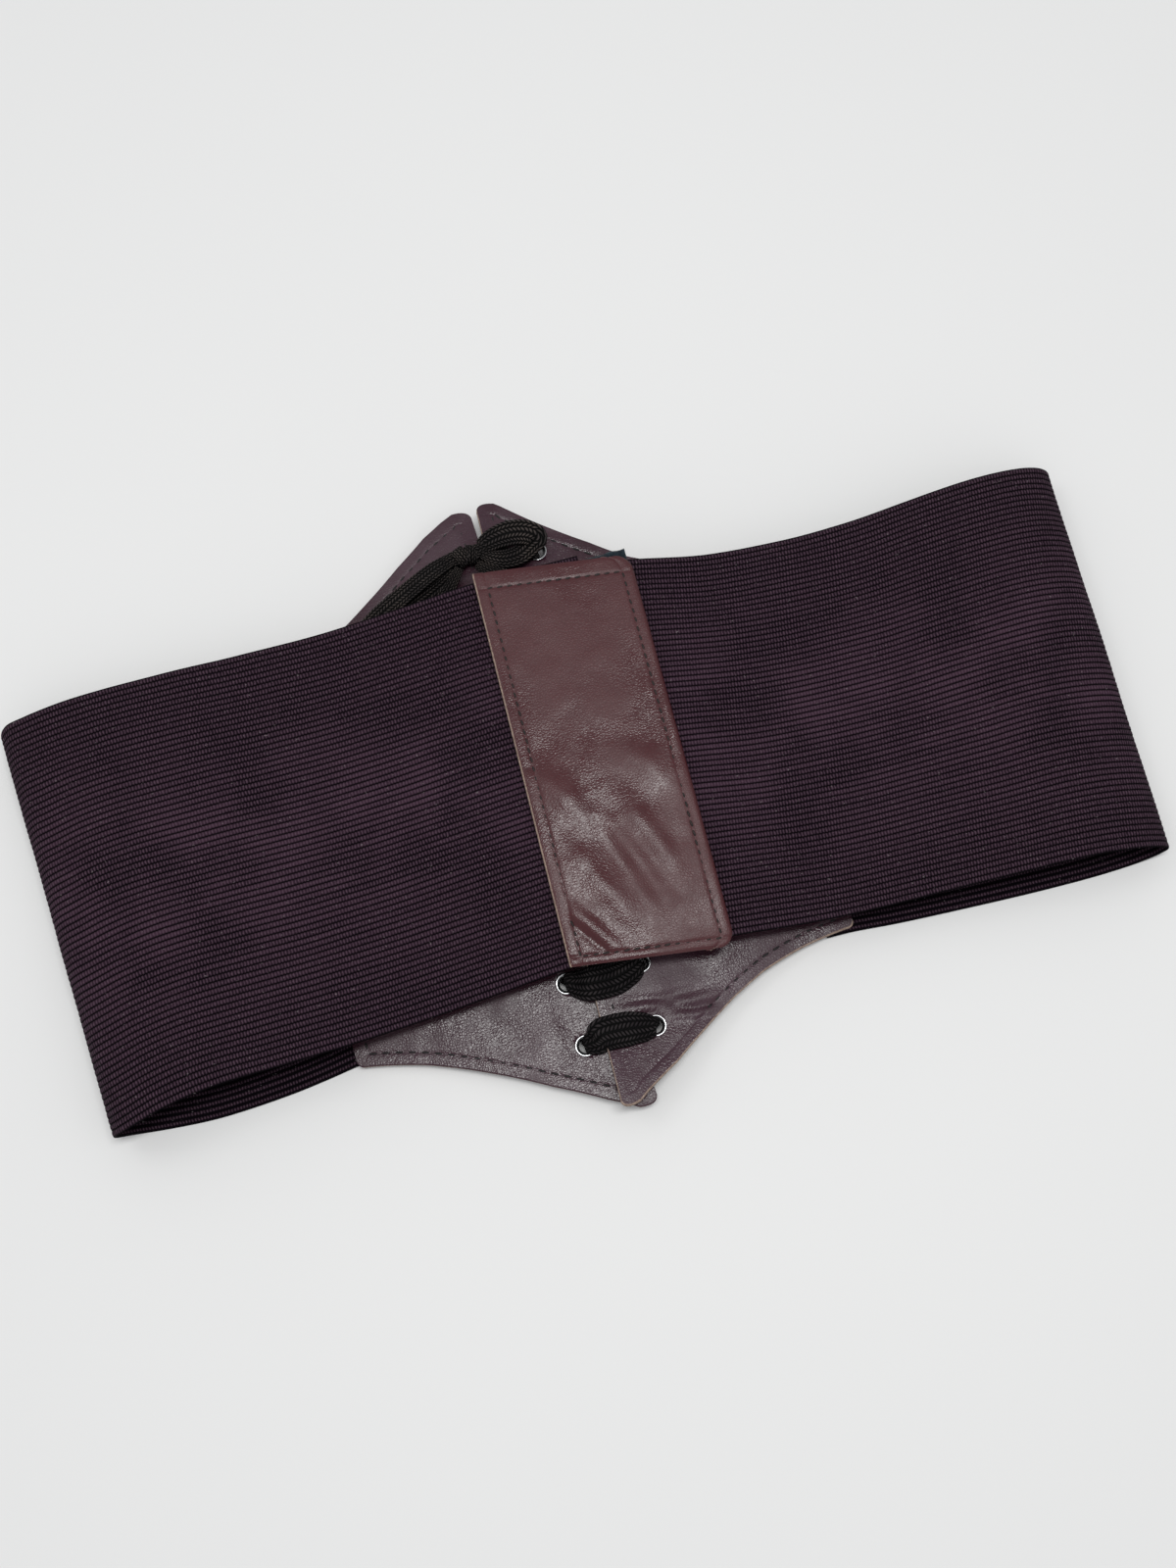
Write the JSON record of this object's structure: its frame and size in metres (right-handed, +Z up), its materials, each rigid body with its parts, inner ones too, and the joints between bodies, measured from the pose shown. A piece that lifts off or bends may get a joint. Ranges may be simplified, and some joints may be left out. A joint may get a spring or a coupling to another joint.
{
  "type": "corset belt",
  "caption": "Wide elastic corset belt lying flat, with pointed laced leather front panels, silver eyelets, a lace bow and a stitched back closure tab.",
  "frame": {"origin": "centre of the bounding box, on the surface that the belt lies on", "axes": "+X along the flat-lying belt, +Y from the near edge to the far edge, +Z up"},
  "size_m": [0.4114, 0.2332, 0.0255],
  "materials": {
    "elastic": "ribbed elastic webbing",
    "panel_leather": "soft sheen",
    "tab_leather": "soft sheen",
    "fastener": "matt pile",
    "lace": "matt braid",
    "eyelet": "polished"
  },
  "bodies": {
    "root": {"front_panel_left": "panel_leather", "front_panel_right": "panel_leather", "elastic_left": "elastic", "elastic_right": "elastic", "fastener_strip": "fastener", "back_tab": "tab_leather", "lace": "lace", "bow_knot": "lace", "bow_loop_right": "lace", "bow_loop_left": "lace", "bow_tail_left": "lace", "bow_tail_right": "lace", "eyelet_left_1": "eyelet", "eyelet_left_2": "eyelet", "eyelet_left_3": "eyelet", "eyelet_left_4": "eyelet", "eyelet_left_5": "eyelet", "eyelet_left_6": "eyelet", "eyelet_left_7": "eyelet", "eyelet_left_8": "eyelet", "eyelet_left_9": "eyelet", "eyelet_right_1": "eyelet", "eyelet_right_2": "eyelet", "eyelet_right_3": "eyelet", "eyelet_right_4": "eyelet", "eyelet_right_5": "eyelet", "eyelet_right_6": "eyelet", "eyelet_right_7": "eyelet", "eyelet_right_8": "eyelet", "eyelet_right_9": "eyelet"}
  },
  "joints": []
}
